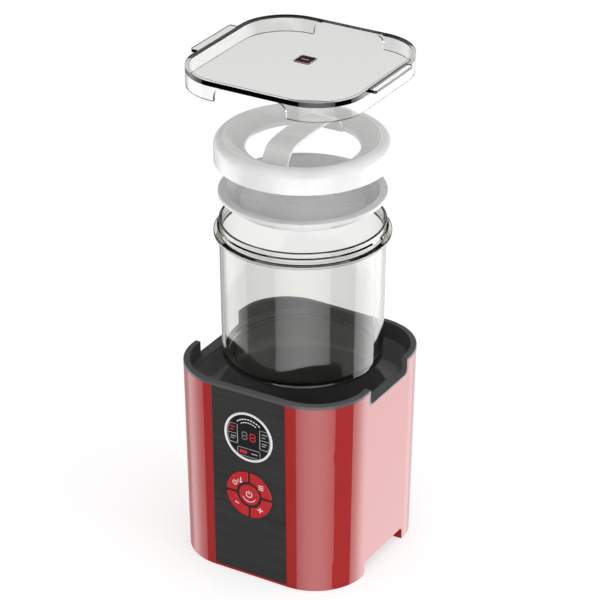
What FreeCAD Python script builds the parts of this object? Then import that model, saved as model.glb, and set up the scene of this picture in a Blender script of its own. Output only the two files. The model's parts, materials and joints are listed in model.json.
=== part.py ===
import FreeCAD, Part
import math
import os

# Yogurt maker: a heated square base, a two-litre jar, its inner lid, a locking ring with
# a handle, and a clear cover.  Millimetres, +Z up, the control panel faces -Y, and the
# origin is on the ground under the middle of the base.  The pieces are drawn lifted
# apart, one above the other, in the order in which they go together.

V = FreeCAD.Vector

# ---- Driving dimensions -------------------------------------------------------------

# Base shell, a rounded square that narrows a little towards the ground
BASE_W = 180.0          # across the top, left to right
BASE_D = 180.5          # across the top, front to rear
CORNER_R = 52.8
SHELL_TOP = 187.2
TAPER = 3.2             # each side moves in by this much from SHELL_TOP to the ground
SHELL_BOTTOM = 0.6
WALL = 2.6

# Liner: a lip on the shell's edge, a ledge for the cover, a squarish cavity for the
# locking ring, and a round well for the jar in the cavity's deck
RIM_TOP = 190.5
LIP_WIDTH = 5.6
LIP_EDGE_R = 1.0
LINER_WALL = 2.5
LINER_INSET = 3.1       # liner's outer wall, measured in from the shell's outer face
LEDGE_Z = 175.6
CAVITY_HALF_X = 79.5
CAVITY_FRONT_Y = -76.0
CAVITY_REAR_Y = 84.0
CAVITY_R = 42.0
DECK_Z = 151.8
WELL_Y = 3.7            # the jar's axis sits behind the middle to leave room for the panel
WELL_R = 75.6
WELL_EDGE = 1.2         # chamfer where the well meets the deck
WELL_FLOOR_TOP = 30.2
WELL_FLOOR_HOLE_R = 64.0

# Finger notches in the rim and grip pockets in the foot, left and right
NOTCH_HALF = 35.5
NOTCH_Z = 173.6
NOTCH_R = 6.0
NOTCH_LINING = 2.6      # liner on the notch's two ends
NOTCH_FLOOR = 2.0       # liner on the notch's floor, level with the ledge
POCKET_HALF = 35.0
POCKET_TOP = 13.0
POCKET_R = 5.0
POCKET_DEPTH_X = 62.0   # inner end of the pocket
POCKET_WALL = 2.0

# Front: flat panel with a round display above a round cluster of five buttons.
# On the front, Y is the depth behind the panel's face.
PANEL_HALF = 37.1
PANEL_BOTTOM = 2.75
PANEL_T = 1.2
DISPLAY_Z = 145.0
BEZEL_R = 24.5
LENS_R = 22.2
CLUSTER_Z = 86.0
CLUSTER_R = 23.2
SECTOR_INNER_R = 12.9
SECTOR_GAP = 2.3
POWER_R = 10.3
BUTTON_PROUD = 0.9
BUTTON_CLEARANCE = 0.3
BUTTON_FLANGE = 0.6
BOARD_FRONT = 7.6       # depth of the display board's front face
BOARD_T = 1.6

# Heater, boards and foot
HEATER_T = 2.0
HEATER_R = 74.0
FILM_T = 1.2
PLATE_BOTTOM = 1.4
PLATE_T = 2.4
POWER_BOARD_Z = 8.0
INLET_Z = 13.0
FOOT_R = 7.0
FOOT_H = 2.6
FOOT_PLACE = 60.0
BOSS_PLACE = 66.0
LINER_BOSS_PLACE = 62.0
LINER_BOSS_H = 13.0     # below the deck
SHELL_LUG_T = 3.0       # shell's lug under each liner boss
SCREW_R = 1.5
SMALL_SCREW_R = 1.1

# Jar, as drawn: its seat in the well plus the lift
JAR_SEAT = 32.5
JAR_LIFT = 153.9
JAR_H = 134.1
JAR_TOP_R = 73.1
JAR_BOTTOM_R = 71.7
JAR_WALL = 2.5
NECK_R = 73.4
COLLAR_R = 77.9
COLLAR_Z = 120.5
COLLAR_T = 3.0
BEAD_R = 74.9
BEAD_Z = 125.6
BEAD_H = 3.8
BEAD_GAP_DEG = 6.3      # half of each gap in the bead

# Inner lid, ring seal, locking ring and handle
CLEARANCE = 0.3
LID_LIFT = 177.4
LID_R = 73.6
LID_FLANGE_T = 3.4
LID_DEPTH = 10.2
LID_KEY_DEG = -59.6     # middle of the front key under the flange; the other is opposite
LID_KEY_HALF_DEG = 20.0
LID_KEY_H = 4.4
RING_LIFT = 220.1
RING_R = 77.2
RING_BORE_R = 75.25
RING_H = 21.0
RING_CREST_R = 66.0
RING_HOLE_R = 49.8
LUG_R = 73.9
LUG_T = 1.5
LUG_HALF_DEG = 5.0
SEAL_SEAT = 17.8
SEAL_INNER_R = 69.8
SEAL_OUTER_R = 73.2
SEAL_H = 3.2
HANDLE_HALF = 12.5
HANDLE_T = 2.8
HANDLE_CORNER_R = 18.0
HANDLE_CROWN_R = 303.0

# Cover
COVER_LIFT = 277.3
COVER_W = 166.0
COVER_D = 167.8
COVER_R = 45.2
COVER_H = 17.3
COVER_WALL = 2.6
COVER_PLATE_T = 3.5
COVER_RIM_W = 3.2
COVER_RIM_H = 1.1
COVER_GAP_HALF = 35.0
COVER_GAP_R = 9.0
TAB_HALF = 32.0
TAB_REACH = 90.0
TAB_T = 3.0
BADGE_SIZE = 16.0
BADGE_X = 5.0
BADGE_Y = -1.5

# Heights that follow from those
TILT = math.degrees(math.atan(TAPER / SHELL_TOP))
JAR_Z = JAR_SEAT + JAR_LIFT
LID_Z = JAR_SEAT + JAR_H + CLEARANCE + LID_LIFT
RING_Z = JAR_SEAT + COLLAR_Z + COLLAR_T + CLEARANCE + RING_LIFT
COVER_Z = LEDGE_Z + CLEARANCE + COVER_LIFT
HEATER_TOP = WELL_FLOOR_TOP + HEATER_T
FILM_BOTTOM = WELL_FLOOR_TOP - FILM_T
CLIP_TOP = FILM_BOTTOM - 1.9
PLATE_TOP = PLATE_BOTTOM + PLATE_T
POWER_BOARD_TOP = POWER_BOARD_Z + BOARD_T
BOARD_BACK = BOARD_FRONT + BOARD_T
DECK_UNDERSIDE = DECK_Z - LINER_WALL
LINER_BOSS_LOW = DECK_UNDERSIDE - LINER_BOSS_H
FAR = 400.0             # longer than anything that it has to cut through


# ---- Shape helpers ------------------------------------------------------------------

def box(x0, x1, y0, y1, z0, z1):
    """Block between two corners."""
    return Part.makeBox(x1 - x0, y1 - y0, z1 - z0, V(x0, y0, z0))


def rod(radius, start, direction, length):
    """Cylinder from a start point along a direction."""
    return Part.makeCylinder(radius, length, V(*start), V(*direction))


def disc(radius, z0, z1, hole=0.0):
    """Disc or ring on the jar's axis."""
    body = rod(radius, (0, WELL_Y, z0), (0, 0, 1), z1 - z0)
    if hole:
        body = body.cut(rod(hole, (0, WELL_Y, z0 - 1), (0, 0, 1), z1 - z0 + 2))
    return body


def group(shapes):
    """Separate solids in one node."""
    return Part.makeCompound(shapes)


def joined(shapes):
    """One solid from several that meet."""
    body = shapes[0].fuse(shapes[1:])
    return body.removeSplitter()


def closed_wire(points, place):
    """Outline through (a, b) points; (a, b, mid_a, mid_b) reaches (a, b) by an arc."""
    edges = []
    for index, point in enumerate(points):
        start = place(*points[index - 1][:2])
        end = place(*point[:2])
        if len(point) == 4:
            edges.append(Part.Arc(start, place(*point[2:]), end).toShape())
        else:
            edges.append(Part.LineSegment(start, end).toShape())
    return Part.Wire(edges)


def turned(points, z=0.0, start_deg=0.0, sweep_deg=360.0):
    """Body of revolution on the jar's axis from an outline of (radius, height)."""
    face = Part.Face(closed_wire(points, lambda r, h: V(r, WELL_Y, z + h)))
    axis_point = V(0, WELL_Y, 0)
    face.rotate(axis_point, V(0, 0, 1), start_deg)
    return face.revolve(axis_point, V(0, 0, 1), sweep_deg)


def rounded_wire(width, depth, radius, z):
    """Rounded rectangle about the Z axis."""
    edges = []
    ends = []
    for quarter, (sx, sy) in enumerate(((1, -1), (1, 1), (-1, 1), (-1, -1))):
        centre = V(sx * (width / 2 - radius), sy * (depth / 2 - radius), z)
        on_arc = []
        for part_turn in (0, 45, 90):
            angle = math.radians(90 * quarter - 90 + part_turn)
            on_arc.append(centre + V(radius * math.cos(angle), radius * math.sin(angle), 0))
        edges.append(Part.Arc(*on_arc).toShape())
        ends.append((on_arc[0], on_arc[2]))
    for index in range(4):
        edges.append(Part.LineSegment(ends[index - 1][1], ends[index][0]).toShape())
    return Part.Wire(Part.__sortEdges__(edges))


def rounded_block(width, depth, radius, z0, z1):
    """Upright block with a rounded rectangular outline."""
    return Part.Face(rounded_wire(width, depth, radius, z0)).extrude(V(0, 0, z1 - z0))


def tapered(z0, z1, inset=0.0):
    """The base's outer form between two heights, set in from its face."""
    wires = []
    for z in (z0, z1):
        grow = TAPER * (z - SHELL_TOP) / SHELL_TOP - inset
        wires.append(rounded_wire(BASE_W + 2 * grow, BASE_D + 2 * grow, CORNER_R + grow, z))
    return Part.makeLoft(wires, True, True)


def tapered_wall(z0, z1, outer_inset, inner_inset):
    """Wall that follows the base's form."""
    return tapered(z0, z1, outer_inset).cut(tapered(z0 - 1, z1 + 1, inner_inset))


def side_channel(half, z_round, z_open, radius):
    """Channel along X whose closed side, at z_round, has rounded corners."""
    turn = math.copysign(radius, z_open - z_round)
    inset = radius * (1 - math.sqrt(0.5))
    bend = math.copysign(inset, turn)
    outline = [
        (-half, z_open),
        (-half, z_round + turn),
        (-half + radius, z_round, -half + inset, z_round + bend),
        (half - radius, z_round),
        (half, z_round + turn, half - inset, z_round + bend),
        (half, z_open),
    ]
    wire = closed_wire(outline, lambda y, z: V(-FAR / 2, y, z))
    return Part.Face(wire).extrude(V(FAR, 0, 0))


def both_sides(shape):
    """Keep what lies left and right of the jar."""
    return shape.common(group([box(-FAR, -80, -60, 60, 0, FAR), box(80, FAR, -60, 60, 0, FAR)]))


def on_front(shape):
    """Lay a shape, drawn behind the plane Y = 0, on the sloping front of the base."""
    shape.translate(V(0, -BASE_D / 2, 0))
    shape.rotate(V(0, -BASE_D / 2, SHELL_TOP), V(1, 0, 0), TILT)
    return shape


def front_disc(radius, y0, y1, x, z, hole=0.0):
    """Disc or ring that faces the front."""
    body = rod(radius, (x, y0, z), (0, 1, 0), y1 - y0)
    if hole:
        body = body.cut(rod(hole, (x, y0 - 1, z), (0, 1, 0), y1 - y0 + 2))
    return body


def screw(x, y, z, direction, radius, length, head_r, head_h):
    """Pan-head screw; z is under the head, and the shank goes along direction."""
    back = tuple(-d for d in direction)
    return rod(radius, (x, y, z), direction, length).fuse(rod(head_r, (x, y, z), back, head_h))


def corners(place_x, place_y):
    """Four corner positions."""
    return [(sx * place_x, sy * place_y) for sx in (-1, 1) for sy in (-1, 1)]


def corner_lug(x, y, radius, z0, z1):
    """Boss in a corner of the shell, joined to the wall by a web."""
    post = rod(radius, (x, y, z0), (0, 0, 1), z1 - z0)
    web = box(0, 26, -radius * 0.5, radius * 0.5, z0, z1)
    web.rotate(V(0, 0, 0), V(0, 0, 1), math.degrees(math.atan2(y, x)))
    web.translate(V(x, y, 0))
    return post.fuse(web)


# ---- Front controls -----------------------------------------------------------------

def sector(side_x, side_z, y0, y1, grow):
    """Quarter of the button ring, grown outwards all round."""
    ring = front_disc(CLUSTER_R + grow, y0, y1, 0, CLUSTER_Z, SECTOR_INNER_R - grow)
    near = SECTOR_GAP / 2 - grow
    far = CLUSTER_R + 5
    xs = sorted((side_x * near, side_x * far))
    zs = sorted((CLUSTER_Z + side_z * near, CLUSTER_Z + side_z * far))
    quarter = ring.common(box(xs[0], xs[1], y0 - 1, y1 + 1, zs[0], zs[1]))
    across = [edge for edge in quarter.Edges if abs(edge.tangentAt(edge.FirstParameter).y) > 0.99]
    return quarter.makeFillet(1.4, across)


def button_form(name, y0, y1, grow):
    """Outline of one button as a solid between two depths."""
    if name == "button_power":
        return front_disc(POWER_R + grow, y0, y1, 0, CLUSTER_Z)
    side_x, side_z = SECTORS[name]
    return sector(side_x, side_z, y0, y1, grow)


def button_stem_place(name):
    """Where the button presses its switch."""
    if name == "button_power":
        return 0.0, CLUSTER_Z
    side_x, side_z = SECTORS[name]
    reach = (CLUSTER_R + SECTOR_INNER_R) / 2 * math.sqrt(0.5)
    return side_x * reach, CLUSTER_Z + side_z * reach


SECTORS = {
    "button_time": (-1, 1),
    "button_menu": (1, 1),
    "button_minus": (-1, -1),
    "button_plus": (1, -1),
}
BUTTONS = list(SECTORS) + ["button_power"]
BOARD_SCREWS = [(x, z) for x in (-27, 27) for z in (63, 165)]


def button(name):
    """Cap with a domed face, a flange behind the panel and a stem."""
    cap = button_form(name, -BUTTON_PROUD, PANEL_T + 0.4, 0)
    rim = [edge for edge in cap.Edges if edge.BoundBox.YMax < -BUTTON_PROUD + 0.01]
    cap = cap.makeFillet(0.5, rim)
    flange = button_form(name, PANEL_T + 0.3, PANEL_T + 1.3, BUTTON_FLANGE)
    x, z = button_stem_place(name)
    stem = rod(2.0, (x, PANEL_T + 1.0, z), (0, 1, 0), 1.8)
    return on_front(joined([cap, flange, stem]))


def control_panel():
    body = box(-PANEL_HALF, PANEL_HALF, 0, PANEL_T, PANEL_BOTTOM, SHELL_TOP - 0.1)
    body = body.cut(front_disc(LENS_R + 1.3, -1, PANEL_T + 1, 0, DISPLAY_Z))
    for name in BUTTONS:
        body = body.cut(button_form(name, -1, PANEL_T + 1, BUTTON_CLEARANCE))
    return on_front(body)


def display_bezel():
    """Bright ring with a rounded face that holds the lens."""
    inner = LENS_R + 0.1
    outline = [
        (inner, 3.0),
        (inner, -0.5),
        (BEZEL_R, -0.5, (inner + BEZEL_R) / 2, -1.1),
        (BEZEL_R, 0.0),
        (LENS_R + 1.2, 0.0),
        (LENS_R + 1.2, 3.0),
    ]
    face = Part.Face(closed_wire(outline, lambda r, y: V(r, y, DISPLAY_Z)))
    return on_front(face.revolve(V(0, 0, DISPLAY_Z), V(0, 1, 0), 360))


def display_lens():
    return on_front(front_disc(LENS_R, 0.0, 1.6, 0, DISPLAY_Z))


def display_module():
    """Digit and indicator block that shines through the lens."""
    return on_front(box(-16, 16, 3.3, BOARD_FRONT, DISPLAY_Z - 15, DISPLAY_Z + 13))


def display_board():
    body = box(-31, 31, BOARD_FRONT, BOARD_BACK, 58, 170)
    for x, z in BOARD_SCREWS:
        body = body.cut(front_disc(SMALL_SCREW_R + 0.1, BOARD_FRONT - 1, BOARD_BACK + 1, x, z))
    return on_front(body)


def display_board_screws():
    screws = [screw(x, BOARD_BACK, z, (0, -1, 0), SMALL_SCREW_R, 5.0, 2.2, 1.4)
              for x, z in BOARD_SCREWS]
    return on_front(group(screws))


def tact_switches():
    switches = []
    for name in BUTTONS:
        x, z = button_stem_place(name)
        body = box(x - 3, x + 3, BOARD_FRONT - 2.2, BOARD_FRONT, z - 3, z + 3)
        switches.append(body.fuse(rod(1.6, (x, BOARD_FRONT - 2.7, z), (0, 1, 0), 1.0)))
    return on_front(group(switches))


def buzzer():
    return on_front(front_disc(6.0, BOARD_BACK, BOARD_BACK + 3.4, 19, 74, 1.0))


# ---- Base housing -------------------------------------------------------------------

def outer_shell():
    body = tapered_wall(SHELL_BOTTOM, SHELL_TOP, 0, WALL)
    solid_form = tapered(SHELL_BOTTOM, SHELL_TOP)
    pocket_block = side_channel(POCKET_HALF + POCKET_WALL, POCKET_TOP + POCKET_WALL,
                                SHELL_BOTTOM, POCKET_R + POCKET_WALL)
    inner_end = POCKET_DEPTH_X - POCKET_WALL
    lugs = []
    for x, y in corners(BOSS_PLACE, BOSS_PLACE):
        lugs.append(corner_lug(x, y, 4.5, PLATE_TOP, 24))
    for x, y in corners(LINER_BOSS_PLACE, LINER_BOSS_PLACE):
        lugs.append(corner_lug(x, y, 5.5, LINER_BOSS_LOW - SHELL_LUG_T, LINER_BOSS_LOW))
    parts = [body] + [lug.common(solid_form) for lug in lugs]
    for side in (-1, 1):
        xs = sorted((side * inner_end, side * FAR))
        block = pocket_block.common(box(xs[0], xs[1], -FAR, FAR, -1, FAR))
        parts.append(block.common(solid_form))
    body = joined(parts)

    pocket = side_channel(POCKET_HALF, POCKET_TOP, -5, POCKET_R)
    core = box(-POCKET_DEPTH_X, POCKET_DEPTH_X, -FAR, FAR, -10, 40)
    body = body.cut(pocket.cut(core))
    body = body.cut(side_channel(NOTCH_HALF, NOTCH_Z, FAR, NOTCH_R))
    for x, y in corners(BOSS_PLACE, BOSS_PLACE):
        body = body.cut(rod(SCREW_R, (x, y, 0), (0, 0, 1), 20))
    for x, y in corners(LINER_BOSS_PLACE, LINER_BOSS_PLACE):
        body = body.cut(rod(SCREW_R + 0.2, (x, y, LINER_BOSS_LOW - 8), (0, 0, 1), 12))

    posts = [rod(3.0, (x, WALL - 0.4, z), (0, 1, 0), BOARD_FRONT - WALL + 0.4)
             for x, z in BOARD_SCREWS]
    body = joined([body] + [on_front(post) for post in posts])
    openings = [
        box(-PANEL_HALF - 0.1, PANEL_HALF + 0.1, -5, PANEL_T, PANEL_BOTTOM - 0.1, FAR),
        front_disc(LENS_R + 1.4, -5, 6, 0, DISPLAY_Z),
        front_disc(CLUSTER_R + 1.8, -5, 6, 0, CLUSTER_Z),
    ]
    for x, z in BOARD_SCREWS:
        openings.append(front_disc(SMALL_SCREW_R, BOARD_FRONT - 3.5, BOARD_FRONT + 1, x, z))
    for opening in openings:
        body = body.cut(on_front(opening))

    rear = BASE_D / 2 - TAPER
    body = body.cut(box(-15.2, 15.2, rear - 1.4, rear + 5, INLET_Z - 7.7, INLET_Z + 7.7))
    return body.cut(box(-12.2, 12.2, rear - 20, rear + 5, INLET_Z - 6.2, INLET_Z + 6.2))


def cavity(z0, z1, grow=0.0):
    """The liner's squarish cavity around the locking ring, grown outwards all round."""
    block = rounded_block(2 * (CAVITY_HALF_X + grow), CAVITY_REAR_Y - CAVITY_FRONT_Y + 2 * grow,
                          CAVITY_R + grow, z0, z1)
    block.translate(V(0, (CAVITY_REAR_Y + CAVITY_FRONT_Y) / 2, 0))
    return block


def inner_liner():
    low = LEDGE_Z - LINER_WALL
    lip = tapered_wall(SHELL_TOP, RIM_TOP, 0, LIP_WIDTH)
    wall = tapered_wall(low, RIM_TOP, LINER_INSET, LIP_WIDTH)
    ledge = tapered(low, LEDGE_Z, LINER_INSET)
    notch = side_channel(NOTCH_HALF, NOTCH_Z, FAR, NOTCH_R)
    saddle = both_sides(tapered_wall(NOTCH_Z, RIM_TOP, 0, LIP_WIDTH).common(notch))
    upper = cavity(DECK_UNDERSIDE, LEDGE_Z, LINER_WALL)
    lower = disc(WELL_R + LINER_WALL, WELL_FLOOR_TOP - LINER_WALL, DECK_Z)
    bosses = [rod(4.0, (x, y, LINER_BOSS_LOW), (0, 0, 1), LINER_BOSS_H + 0.5)
              for x, y in corners(LINER_BOSS_PLACE, LINER_BOSS_PLACE)]
    body = joined([ledge, wall, lip, upper, lower] + saddle.Solids + bosses)

    body = body.cut(cavity(DECK_Z, FAR))
    body = body.cut(disc(WELL_R, WELL_FLOOR_TOP, FAR))
    body = body.cut(disc(WELL_FLOOR_HOLE_R, 0, FAR))
    body = body.cut(Part.makeCone(WELL_R, WELL_R + WELL_EDGE, WELL_EDGE,
                                  V(0, WELL_Y, DECK_Z - WELL_EDGE)))
    finger = side_channel(NOTCH_HALF - NOTCH_LINING, NOTCH_Z + NOTCH_FLOOR, FAR, NOTCH_R - 1.5)
    body = body.cut(finger.cut(tapered(0, FAR, LIP_WIDTH)))
    for x, y in corners(LINER_BOSS_PLACE, LINER_BOSS_PLACE):
        body = body.cut(rod(SCREW_R, (x, y, LINER_BOSS_LOW - 9), (0, 0, 1), 18))
    return body.makeFillet(LIP_EDGE_R, lip_edges(body))


def lip_edges(body):
    """Outer edges of the lip's top face."""
    return [edge for edge in body.Edges
            if edge.BoundBox.ZMin > RIM_TOP - 0.01 and outermost(edge.CenterOfMass)]


def outermost(point):
    """True near the base's outer face."""
    return not tapered(RIM_TOP - 1, RIM_TOP + 1, LIP_WIDTH / 2).isInside(point, 0.01, True)


def liner_screws():
    under_head = LINER_BOSS_LOW - SHELL_LUG_T
    return group([screw(x, y, under_head, (0, 0, 1), SCREW_R, 11, 3.0, 2.0)
                  for x, y in corners(LINER_BOSS_PLACE, LINER_BOSS_PLACE)])


def base_plate():
    body = tapered(PLATE_BOTTOM, PLATE_TOP, WALL + 0.2)
    room = side_channel(POCKET_HALF + POCKET_WALL + 0.2, FAR, -5, 1)
    core_x = POCKET_DEPTH_X - POCKET_WALL - 0.2
    body = body.cut(room.cut(box(-core_x, core_x, -FAR, FAR, -10, FAR + 10)))
    stands = [rod(3.2, (x, y, PLATE_TOP - 0.5), (0, 0, 1), POWER_BOARD_Z - PLATE_TOP + 0.5)
              for x, y in corners(42, 32)]
    body = joined([body] + stands)
    for x, y in corners(42, 32):
        body = body.cut(rod(SMALL_SCREW_R, (x, y, PLATE_BOTTOM + 1), (0, 0, 1), 10))
    for x, y in corners(BOSS_PLACE, BOSS_PLACE):
        body = body.cut(rod(SCREW_R + 0.2, (x, y, 0), (0, 0, 1), 10))
        body = body.cut(rod(3.4, (x, y, 0), (0, 0, 1), PLATE_BOTTOM + 1.2))
    for x, y in corners(FOOT_PLACE - 12, FOOT_PLACE + 6):
        body = body.cut(rod(FOOT_R + 0.1, (x, y, 0), (0, 0, 1), FOOT_H))
    for index in range(6):
        y = -20 + 8 * index
        body = body.cut(box(-18, 18, y - 1.2, y + 1.2, 0, 10))
    return body


def base_screws():
    return group([screw(x, y, PLATE_BOTTOM + 1.2, (0, 0, 1), SCREW_R, 12, 3.0, 1.1)
                  for x, y in corners(BOSS_PLACE, BOSS_PLACE)])


def foot(x, y):
    """Rubber foot let into the base plate."""
    pad = rod(FOOT_R, (x, y, 0), (0, 0, 1), FOOT_H)
    low_edge = [edge for edge in pad.Edges if edge.BoundBox.ZMax < 0.01]
    return pad.makeChamfer(0.6, low_edge)


FEET = {
    "foot_front_left": (-1, -1),
    "foot_front_right": (1, -1),
    "foot_rear_left": (-1, 1),
    "foot_rear_right": (1, 1),
}


# ---- Heater and electrics -----------------------------------------------------------

def heating_plate():
    plate = disc(HEATER_R, WELL_FLOOR_TOP, HEATER_TOP, 7.4)
    ring_groove = disc(50, HEATER_TOP - 0.5, HEATER_TOP + 1, 48)
    return plate.cut(ring_groove)


def temperature_sensor():
    outline = [
        (0, HEATER_TOP - 0.1),
        (6.2, HEATER_TOP - 0.1),
        (7.0, HEATER_TOP - 0.9, 6.77, HEATER_TOP - 0.33),
        (7.0, CLIP_TOP + 1.0),
        (9.5, CLIP_TOP + 1.0),
        (9.5, CLIP_TOP),
        (4.0, CLIP_TOP),
        (4.0, CLIP_TOP - 4.6),
        (0, CLIP_TOP - 4.6),
    ]
    return turned(outline)


def sensor_clip():
    """Spring strip that holds the sensor up against the heater."""
    strip = box(-24, 24, WELL_Y - 5, WELL_Y + 5, CLIP_TOP - 1, CLIP_TOP)
    ends = [box(x, x + 1, WELL_Y - 5, WELL_Y + 5, CLIP_TOP - 0.5, FILM_BOTTOM)
            for x in (-24, 23)]
    feet = [box(x, x + 7, WELL_Y - 5, WELL_Y + 5, FILM_BOTTOM - 1, FILM_BOTTOM)
            for x in (-30, 23)]
    body = joined([strip] + ends + feet)
    return body.cut(disc(4.1, CLIP_TOP - 5, FILM_BOTTOM))


def thermal_fuse():
    y = WELL_Y + 24
    z = FILM_BOTTOM - 2.1
    can = rod(2.1, (22, y, z), (1, 0, 0), 12)
    leads = rod(0.5, (14, y, z), (1, 0, 0), 28)
    return can.fuse(leads)


def fuse_clamp():
    y = WELL_Y + 24
    axis_z = FILM_BOTTOM - 2.1
    body = box(25, 31, y - 5, y + 5, FILM_BOTTOM - 5.4, FILM_BOTTOM)
    body = body.cut(rod(2.1, (20, y, axis_z), (1, 0, 0), 20))
    return body.cut(box(20, 40, y - 2.1, y + 2.1, axis_z, FILM_BOTTOM + 1))


def power_board():
    body = box(-48, 48, -38, 38, POWER_BOARD_Z, POWER_BOARD_TOP)
    for x, y in corners(42, 32):
        body = body.cut(rod(SMALL_SCREW_R + 0.1, (x, y, 0), (0, 0, 1), 20))
    return body


def power_board_screws():
    return group([screw(x, y, POWER_BOARD_TOP, (0, 0, -1), SMALL_SCREW_R, 6.5, 2.4, 1.6)
                  for x, y in corners(42, 32)])


def transformer():
    core = box(-38, -12, -14, 8, POWER_BOARD_TOP, 21.5)
    winding = box(-34, -16, -18, 12, POWER_BOARD_TOP + 1.5, 20)
    return joined([core, winding])


def relay():
    body = box(28, 46, -28, -14, POWER_BOARD_TOP, 23)
    upright = [edge for edge in body.Edges if abs(edge.tangentAt(0).z) > 0.99]
    return body.makeFillet(1.0, upright)


def capacitors():
    cans = [rod(5.0, (x, 28, POWER_BOARD_TOP), (0, 0, 1), 11) for x in (-28, -15)]
    film = box(2, 20, 24, 32, POWER_BOARD_TOP, 20)
    return group(cans + [film])


def ribbon_connectors():
    on_power_board = box(-12, 12, -37, -31, POWER_BOARD_TOP, 15)
    on_display_board = on_front(box(-12, 12, BOARD_BACK, BOARD_BACK + 3.2, 60, 66))
    return group([on_power_board, on_display_board])


def ribbon_cable():
    """Flat cable from the power board, under the well and up behind the front."""
    rear_y, front_y = -33.5, -78.2
    low_z, thick = 17.1, 0.9
    high_z = low_z + thick
    body = joined([
        box(-10, 10, rear_y - thick, rear_y, 15, high_z),
        box(-10, 10, front_y, rear_y, low_z, high_z),
        box(-10, 10, front_y, front_y + thick, low_z, 59.8),
    ])
    bends = [
        (rear_y, high_z, 1.7),
        (rear_y - thick, low_z, 0.8),
        (front_y, low_z, 3.9),
        (front_y + thick, high_z, 3.0),
    ]
    for y, z, radius in bends:
        corner = [edge for edge in body.Edges
                  if edge.CenterOfMass.distanceToPoint(V(0, y, z)) < 0.01]
        body = body.makeFillet(radius, corner)
    return body


def power_inlet():
    """Two-pin appliance inlet, let into the rear of the shell."""
    rear = BASE_D / 2 - TAPER
    flange = box(-15, 15, rear - 1.4, rear - 0.2, INLET_Z - 7.5, INLET_Z + 7.5)
    housing = box(-12, 12, rear - 20, rear - 0.4, INLET_Z - 6, INLET_Z + 6)
    body = joined([housing, flange])
    sockets = [rod(4.3, (x, rear - 14, INLET_Z), (0, 1, 0), 20) for x in (-4.3, 4.3)]
    body = body.cut(box(-4.3, 4.3, rear - 14, rear + 6, INLET_Z - 3.2, INLET_Z + 3.2))
    for cavity in sockets:
        body = body.cut(cavity)
    for x in (-4.3, 4.3):
        body = body.cut(rod(1.2, (x, rear - 30, INLET_Z), (0, 1, 0), 20))
    return body


def inlet_pins():
    rear = BASE_D / 2 - TAPER
    return group([rod(1.2, (x, rear - 25, INLET_Z), (0, 1, 0), 21) for x in (-4.3, 4.3)])


# ---- Jar, inner lid, ring and cover -------------------------------------------------

def jar():
    inner_top = NECK_R - JAR_WALL
    inner_low = JAR_BOTTOM_R - JAR_WALL
    outline = [
        (0, 0.8),
        (60, 0.8),
        (61.5, 0),
        (JAR_BOTTOM_R - 4, 0),
        (JAR_BOTTOM_R, 4, JAR_BOTTOM_R - 1.2, 1.2),
        (JAR_TOP_R, COLLAR_Z - 0.8),
        (COLLAR_R - 0.6, COLLAR_Z),
        (COLLAR_R, COLLAR_Z + 0.6),
        (COLLAR_R, COLLAR_Z + COLLAR_T - 0.6),
        (COLLAR_R - 0.6, COLLAR_Z + COLLAR_T),
        (NECK_R, COLLAR_Z + COLLAR_T),
        (NECK_R, JAR_H - 1.0),
        (inner_top, JAR_H - 1.0, (NECK_R + inner_top) / 2, JAR_H),
        (inner_top, COLLAR_Z),
        (inner_low, 9),
        (inner_low - 5.5, 3.4, inner_low - 1.6, 5.0),
        (0, 3.4),
    ]
    body = turned(outline, JAR_Z)
    bead = [
        (NECK_R - 0.5, BEAD_Z),
        (BEAD_R - 0.4, BEAD_Z),
        (BEAD_R, BEAD_Z + 0.4),
        (BEAD_R, BEAD_Z + BEAD_H - 1.0),
        (NECK_R - 0.5, BEAD_Z + BEAD_H + 0.4),
    ]
    sweep = 180 - 2 * BEAD_GAP_DEG
    beads = [turned(bead, JAR_Z, start + BEAD_GAP_DEG, sweep) for start in (0, 180)]
    return joined([body] + beads)


def inner_lid():
    """Shallow dish whose flange rests on the jar's rim."""
    floor = LID_FLANGE_T - LID_DEPTH
    outline = [
        (0, floor),
        (53.2, floor),
        (53.7, floor + 0.8),
        (55.3, floor + 0.8),
        (55.8, floor),
        (58.5, floor),
        (61.0, floor + 1.4, 60.2, floor + 0.4),
        (66.0, LID_FLANGE_T - 0.6),
        (66.9, LID_FLANGE_T, 66.3, LID_FLANGE_T - 0.1),
        (LID_R - 0.7, LID_FLANGE_T),
        (LID_R, LID_FLANGE_T - 0.7, LID_R - 0.2, LID_FLANGE_T - 0.2),
        (LID_R, 0),
        (70.4, 0),
        (70.2, -1.8),
        (68.2, -1.8),
        (68.0, -1.4),
        (66.6, -1.4),
        (62.6, floor - 1.2),
        (60.6, floor - 2.4),
        (0, floor - 2.4),
    ]
    key = [(68.2, -1.0), (70.2, -1.0), (70.0, -LID_KEY_H), (68.4, -LID_KEY_H)]
    keys = [turned(key, LID_Z, LID_KEY_DEG + turn - LID_KEY_HALF_DEG, 2 * LID_KEY_HALF_DEG)
            for turn in (0, 180)]
    return joined([turned(outline, LID_Z)] + keys)


def ring_seal():
    """Silicone ring between the locking ring and the inner lid."""
    low = SEAL_SEAT - CLEARANCE - SEAL_H
    outline = [
        (SEAL_INNER_R, low + 0.8),
        (SEAL_OUTER_R, low + 0.8, (SEAL_INNER_R + SEAL_OUTER_R) / 2, low),
        (SEAL_OUTER_R, low + SEAL_H),
        (SEAL_INNER_R, low + SEAL_H),
    ]
    return turned(outline, RING_Z)


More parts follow.
